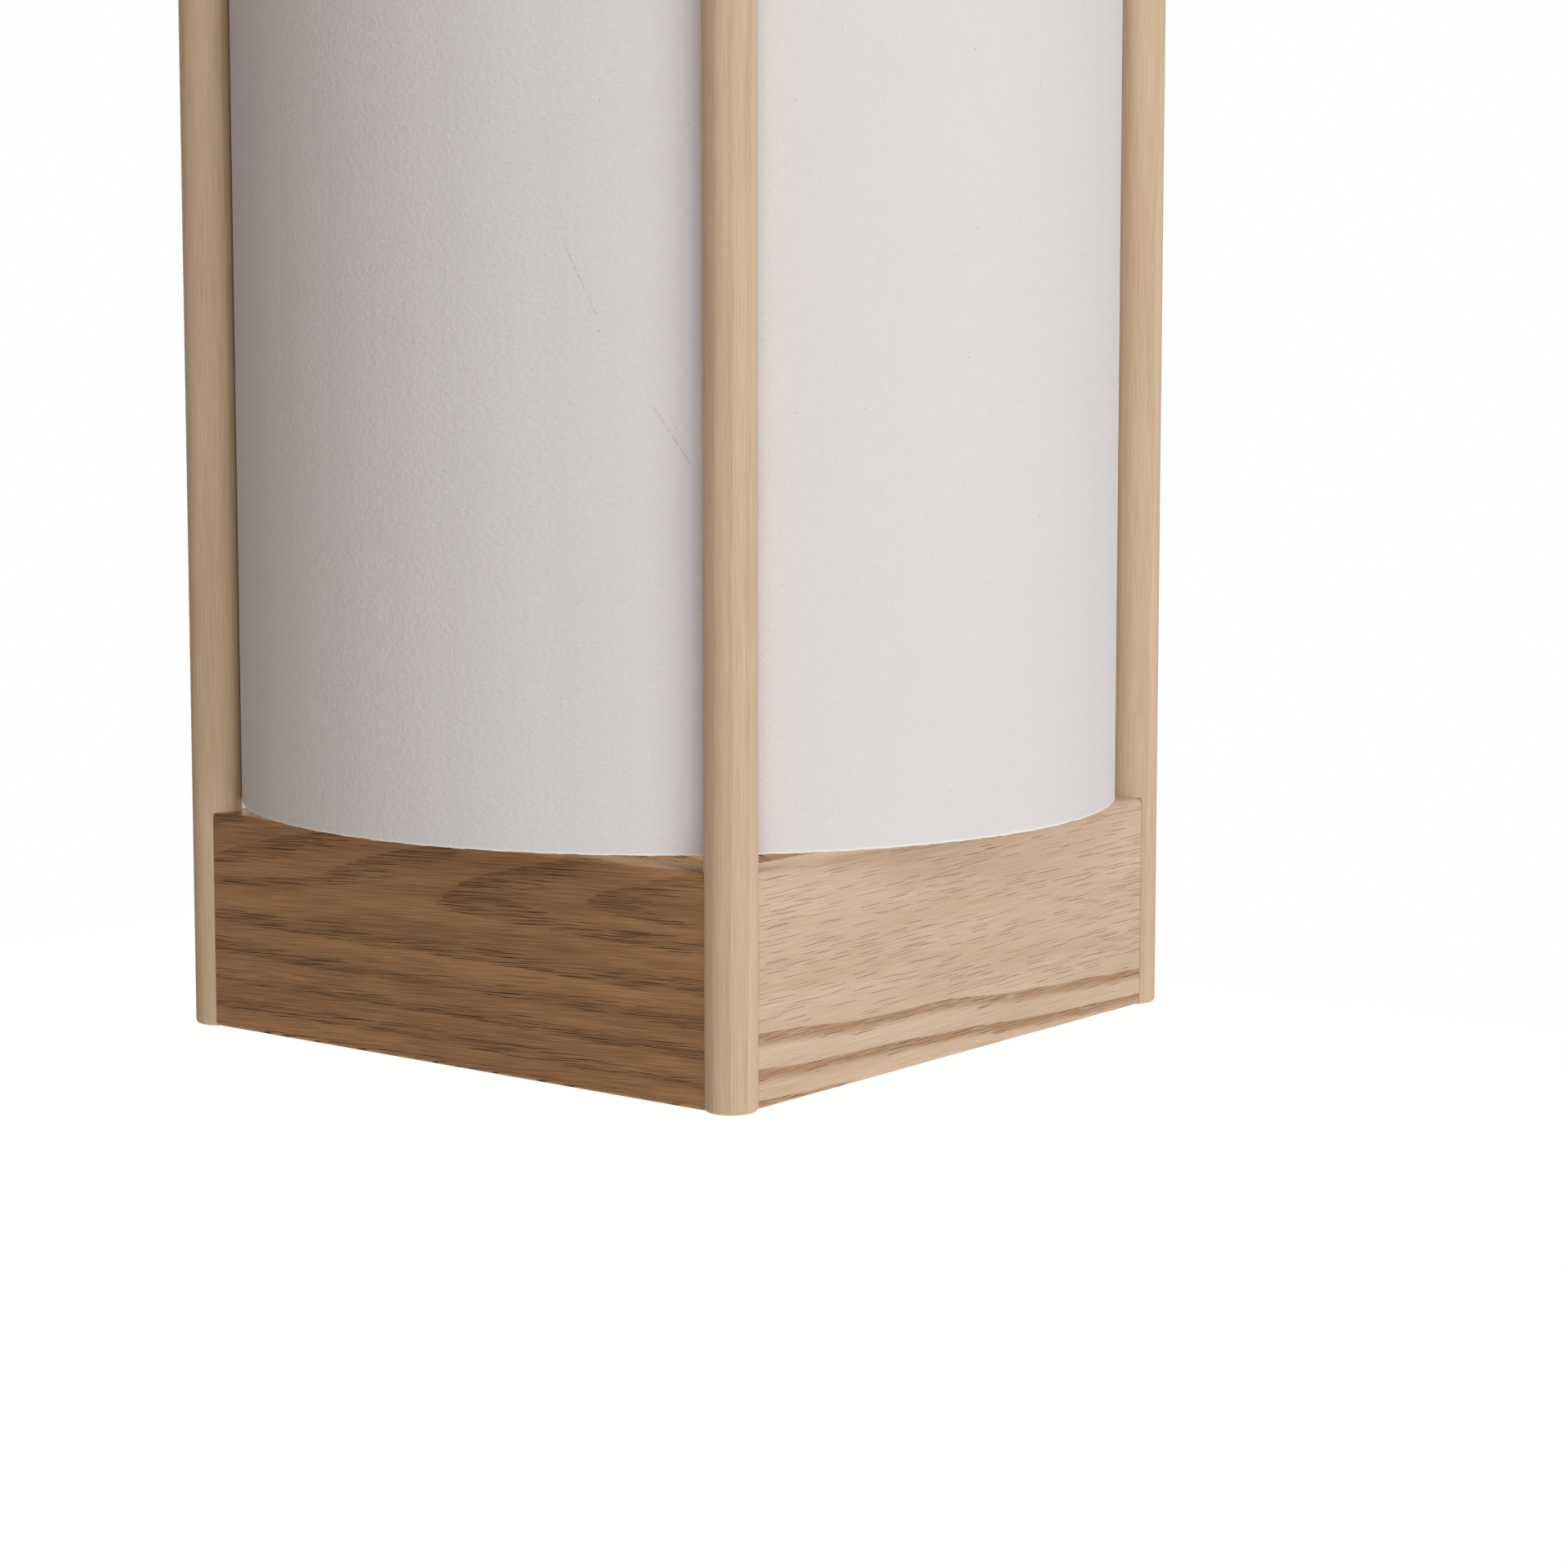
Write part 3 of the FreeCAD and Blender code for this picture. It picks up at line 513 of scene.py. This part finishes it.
def scuffMask(tree, sheet, start, finish):
    run = Vector(finish) - Vector(start)
    way = run.normalized()
    ends = paperLook["scuffEnds"]
    fromStart = vecCalc(tree, "SUBTRACT", sheet, (*start, 0.0))
    along = vecCalc(tree, "DOT_PRODUCT", fromStart, (*way, 0.0))
    aside = vecCalc(tree, "DOT_PRODUCT", fromStart, (-way.y, way.x, 0.0))
    inside = calc(tree, "MULTIPLY", ease(tree, along, 0.0, ends),
                  ease(tree, along, run.length - ends, run.length, 1.0, 0.0))
    stroke = ease(tree, calc(tree, "ABSOLUTE", aside), *paperLook["scuffWidth"], 1.0, 0.0)
    return calc(tree, "MULTIPLY", stroke, inside)


def buildPaperFibre():
    outputs = (("Tone", "f"), ("Speck", "f"), ("Scuff", "f"), ("Height", "f"))
    tree, given, result = startGroup("paperFibre", (("Vector", "v", None),), outputs)
    sheet = given["Vector"]
    scuff = calc(tree, "ADD", *(scuffMask(tree, sheet, *ends) for ends in paperLook["scuffs"]))
    worn = stretchedNoise(tree, sheet, paperLook["scuffStretch"], detail=2.0).outputs["Fac"]
    worn = ease(tree, worn, *paperLook["scuffReach"])
    tree.links.new(calc(tree, "MULTIPLY", scuff, worn), result["Scuff"])
    fine = stretchedNoise(tree, sheet, paperLook["fineStretch"], detail=3.0).outputs["Fac"]
    rows = stretchedNoise(tree, sheet, paperLook["rowStretch"], detail=2.0).outputs["Fac"]
    cloud = stretchedNoise(tree, sheet, paperLook["cloudStretch"], detail=3.0).outputs["Fac"]
    tone = calc(tree, "MULTIPLY", cloud, paperLook["cloudTone"])
    tone = calc(tree, "MULTIPLY_ADD", rows, paperLook["rowTone"], tone)
    tree.links.new(calc(tree, "MULTIPLY_ADD", fine, paperLook["fineTone"], tone), result["Tone"])
    dots = scatter(tree, vecCalc(tree, "MULTIPLY", sheet, paperLook["speckStretch"]))
    dot = ease(tree, dots.outputs["Distance"], *paperLook["speckEdge"], 1.0, 0.0)
    dotStrength = splitVector(tree, dots.outputs["Color"])["X"]
    tree.links.new(calc(tree, "MULTIPLY", dot, dotStrength), result["Speck"])
    felt = stretchedNoise(tree, sheet, paperLook["feltStretch"], detail=3.0).outputs["Fac"]
    height = calc(tree, "MULTIPLY_ADD", rows, paperLook["rowHeight"], felt)
    tree.links.new(calc(tree, "MULTIPLY_ADD", fine, paperLook["fineHeight"], height), result["Height"])
    return tree


paperFibre = buildPaperFibre()


def makePaper(look):
    material, tree, shader = startMaterial("shadePaper")
    coords = tree.nodes.new("ShaderNodeTexCoord")
    mapping = tree.nodes.new("ShaderNodeMapping")
    mapping.inputs["Scale"].default_value = (look["wide"], look["high"], 1.0)
    tree.links.new(coords.outputs["UV"], mapping.inputs["Vector"])
    fibre = placeGroup(tree, paperFibre, {})
    tree.links.new(mapping.outputs["Vector"], fibre.inputs["Vector"])
    tone = ease(tree, fibre.outputs["Tone"], *look["toneReach"])
    plain = blendColour(tree, tone, look["dark"], look["light"])
    upSheet = splitVector(tree, mapping.outputs["Vector"])["Y"]
    near, far = look["edgeHighlightReach"]
    lowerCut = ease(tree, upSheet, near, far, 1.0, 0.0)
    upperCut = ease(tree, upSheet, look["high"] - far, look["high"] - near)
    edgeHighlightShare = calc(tree, "ADD", lowerCut, upperCut, clamp=True)
    plain = blendColour(tree, edgeHighlightShare, plain, look["edgeHighlight"])  # painted highlight: paler band along the top and bottom cut edges
    scuff = calc(tree, "MULTIPLY", fibre.outputs["Scuff"], look["scuffStrength"])
    plain = blendColour(tree, scuff, plain, look["speck"])
    plain = blendColour(tree, fibre.outputs["Speck"], plain, look["speck"])
    tree.links.new(plain, shader.inputs["Base Color"])
    bumpInto(tree, shader, fibre.outputs["Height"], look["relief"], look["depth"])
    shader.inputs["Roughness"].default_value = look["roughness"]
    shader.inputs["Specular IOR Level"].default_value = look["gloss"]
    return material


shadePaper = makePaper(paperLook)


# a flat grid rolled up round the lamp's axis

def rollGrid(name, width, low, high, cuts, radiusAt, startAngle, rollRadius):
    bpy.ops.object.select_all(action="DESELECT")
    bpy.ops.mesh.primitive_grid_add(x_subdivisions=cuts[0], y_subdivisions=cuts[1], size=1, calc_uvs=True)
    piece = bpy.context.object
    piece.name = name
    for vertex in piece.data.vertices:
        run = (vertex.co.x + 0.5) * width
        height = low + (vertex.co.y + 0.5) * (high - low)
        angle = startAngle + run / rollRadius
        radius = radiusAt(run, height)
        vertex.co = (radius * math.cos(angle), radius * math.sin(angle), height)
    bpy.ops.object.mode_set(mode="EDIT")
    bpy.ops.mesh.select_all(action="SELECT")
    bpy.ops.mesh.normals_make_consistent(inside=False)
    bpy.ops.object.mode_set(mode="OBJECT")
    bpy.ops.object.shade_smooth()
    return piece


def thicken(piece, name, thickness):  # inwards from the rolled face
    wall = piece.modifiers.new(name, "SOLIDIFY")
    wall.thickness = thickness
    wall.offset = -1.0
    bpy.context.view_layer.objects.active = piece
    bpy.ops.object.modifier_apply(modifier=wall.name)


# the shade: one sheet rolled up and lapped at the back, with a knife-cut edge
shadeLook = {
    "radius": 0.14253, "sheet": 0.0006, "lap": 0.012, "low": -0.431, "high": -0.058, "cuts": (720, 30),
    "startAngle": math.pi / 2 - 0.04, "lapClimb": 0.006, "lapSink": 0.00002, "smoothAngle": math.radians(40),
    "lean": 0.00142, "leanAngle": math.radians(225), "leanReach": math.radians(40),
    "edgeWander": 0.00012, "edgeTrim": 1.1, "waveShare": 0.5, "edgeCatch": 1e-6,
    "edgeWaves": ((61, 0, 1.0), (137, 2, 0.7), (263, 1, 0.5)),  # count, start, size
}
shadeRound = 2 * math.pi * shadeLook["radius"]


def shadeRadius(run, height):
    climb = shadeLook["lapClimb"]
    over = min(1.0, max(0.0, (run - shadeRound + climb) / climb))  # climbs over its own start
    angle = shadeLook["startAngle"] + run / shadeLook["radius"]
    fromLean = abs(angle - shadeLook["leanAngle"]) / shadeLook["leanReach"]
    # bellies out to the left front post
    lean = shadeLook["lean"] * math.cos(min(1.0, fromLean) * math.pi / 2) ** 2
    return shadeLook["radius"] + (shadeLook["sheet"] - shadeLook["lapSink"]) * over + lean


shadeSheet = rollGrid("shadeSheet", shadeRound + shadeLook["lap"], shadeLook["low"], shadeLook["high"],
                      shadeLook["cuts"], shadeRadius, shadeLook["startAngle"], shadeLook["radius"])
for vertex in shadeSheet.data.vertices:
    for edge, side in ((shadeLook["low"], 1), (shadeLook["high"], -1)):
        if abs(vertex.co.z - edge) < shadeLook["edgeCatch"]:
            angle = math.atan2(vertex.co.y, vertex.co.x)
            waves = shadeLook["edgeWaves"]
            wander = sum(size * math.sin(angle * count + start) for count, start, size in waves)
            trim = shadeLook["edgeTrim"] + shadeLook["waveShare"] * wander
            vertex.co.z += side * shadeLook["edgeWander"] * trim
thicken(shadeSheet, "sheet", shadeLook["sheet"])
bpy.ops.object.shade_smooth_by_angle(angle=shadeLook["smoothAngle"])
shadeSheet.data.materials.append(shadePaper)
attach(shadeSheet, "lamp")
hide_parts("shade_sheet")
print("shade rolled:", len(shadeSheet.data.polygons), "faces")


# round screw threads of the bulb and the lampholder
threadLook = {"pitch": 0.00362, "wall": 0.0004, "runOut": 0.0016, "cuts": (72, 90), "merge": 0.00005}
threadLooks = {
    "bulbCapThread": {**threadLook, "body": "bulb", "node": "bulb_cap", "finish": "nickelPlate",
                      "slot": "bulb_cap_metal", "mean": 0.01255, "wave": 0.0006,
                      "low": -0.0983, "high": -0.0783},
    "holderShellThread": {**threadLook, "body": "lamp", "node": "lampholder_screw_shell",
                          "finish": "plainBrass", "slot": "contact_brass", "mean": 0.01415, "wave": 0.0003,
                          "low": -0.0915, "high": -0.0705},
}


def makeThread(name, look):
    def threadRadius(run, height):
        phase = run / look["mean"] + 2 * math.pi * height / look["pitch"]
        fromEnd = min(height - look["low"], look["high"] - height) / look["runOut"]
        return look["mean"] + look["wave"] * math.sin(phase) * min(1.0, max(0.0, fromEnd))

    piece = rollGrid(name, 2 * math.pi * look["mean"], look["low"], look["high"], look["cuts"],
                     threadRadius, 0.0, look["mean"])
    bpy.ops.object.mode_set(mode="EDIT")
    bpy.ops.mesh.select_all(action="SELECT")
    bpy.ops.mesh.remove_doubles(threshold=look["merge"])
    bpy.ops.mesh.normals_make_consistent(inside=False)
    bpy.ops.object.mode_set(mode="OBJECT")
    thicken(piece, "shell", look["wall"])
    piece.data.materials.append(finishes[look["finish"]])
    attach(piece, look["body"])
    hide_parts(look["node"])


for threadName, look in threadLooks.items():
    makeThread(threadName, look)
print("threads cut:", len(threadLooks))


# room: floor far below a hanging lamp, soft light from the right of the camera
viewLook = {"target": (0.04279, 0.0, -0.39842), "azimuth": 38.08, "elevation": 6.11, "distance": 1.14637,
            "lens": 81.602, "sensor": 36.0, "shift": -0.05208, "reach": 50.0}


def around(azimuth, elevation, distance, centre):
    turn, lift = math.radians(azimuth), math.radians(elevation)
    outward = Vector((math.sin(turn) * math.cos(lift), -math.cos(turn) * math.cos(lift), math.sin(lift)))
    return Vector(centre) + outward * distance


def placeAround(thing, look, centre):
    bpy.context.scene.collection.objects.link(thing)
    thing.location = around(look["azimuth"], look["elevation"], look["distance"], centre)
    thing.rotation_euler = (Vector(centre) - thing.location).to_track_quat("-Z", "Y").to_euler()


cameraData = bpy.data.cameras.new("photoView")
cameraData.sensor_width = viewLook["sensor"]
cameraData.lens = viewLook["lens"]
cameraData.shift_y = viewLook["shift"]
cameraData.clip_end = viewLook["reach"]
camera = bpy.data.objects.new("photoView", cameraData)
placeAround(camera, viewLook, viewLook["target"])
bpy.context.scene.camera = camera

lampCentre = (0.0, 0.0, -0.36)
lightLooks = {
    "keyWindow": {"azimuth": 56, "elevation": 2, "distance": 2.0, "size": 2.5, "power": 31.5},
    "highFront": {"azimuth": 46, "elevation": 46, "distance": 2.0, "size": 2.2, "power": 10.0},
    "underFill": {"azimuth": 38, "elevation": -82, "distance": 1.4, "size": 1.2, "power": 5.5},
    "rightFill": {"azimuth": 136, "elevation": 4, "distance": 2.0, "size": 1.4, "power": 15.0},
    "backFill": {"azimuth": 228, "elevation": 12, "distance": 2.2, "size": 1.4, "power": 28.0},
    "topFill": {"azimuth": 38, "elevation": 84, "distance": 2.2, "size": 1.6, "power": 12.0},
    # daylight that thin paper lets in
    "innerFill": {"azimuth": 38, "elevation": 89, "distance": 0.1, "size": 0.16, "power": 0.3},
}
for lightName, look in lightLooks.items():
    lightData = bpy.data.lights.new(lightName, "AREA")
    lightData.size = look["size"]
    lightData.energy = look["power"]
    light = bpy.data.objects.new(lightName, lightData)
    placeAround(light, look, lampCentre)
    light.visible_camera = False


def seenDirectly(tree):  # camera, mirror and glass rays
    path = tree.nodes.new("ShaderNodeLightPath")
    first = calc(tree, "MAXIMUM", path.outputs["Is Camera Ray"], path.outputs["Is Glossy Ray"])
    return calc(tree, "MAXIMUM", first, path.outputs["Is Transmission Ray"])


roomLook = {"fill": (0.12, 0.07, 0.036, 1.0), "backdrop": (1.0, 1.0, 1.0, 1.0),
            "floorColour": (0.8, 0.8, 0.8, 1.0), "floorRough": 0.9, "floorGlow": 0.9,
            "floorHeight": -2.0, "floorSize": 14.0}
world = bpy.data.worlds.new("studio")
bpy.context.scene.world = world
world.use_nodes = True
background = world.node_tree.nodes["Background"]
background.inputs["Strength"].default_value = 1.0
worldTree = world.node_tree
worldColour = blendColour(worldTree, seenDirectly(worldTree), roomLook["fill"], roomLook["backdrop"])
worldTree.links.new(worldColour, background.inputs["Color"])

bpy.ops.object.select_all(action="DESELECT")
bpy.ops.mesh.primitive_plane_add(size=roomLook["floorSize"], location=(0, 0, roomLook["floorHeight"]))
floor = bpy.context.object
floor.name = "studioFloor"
floorMaterial, floorTree, floorShader = startMaterial("studioFloor")
floorShader.inputs["Base Color"].default_value = roomLook["floorColour"]
floorShader.inputs["Roughness"].default_value = roomLook["floorRough"]
floorShader.inputs["Emission Color"].default_value = roomLook["backdrop"]
floorGlow = calc(floorTree, "MULTIPLY", seenDirectly(floorTree), roomLook["floorGlow"])
floorTree.links.new(floorGlow, floorShader.inputs["Emission Strength"])
floor.data.materials.append(floorMaterial)
bpy.context.scene.view_settings.view_transform = "Standard"
print("room lit")
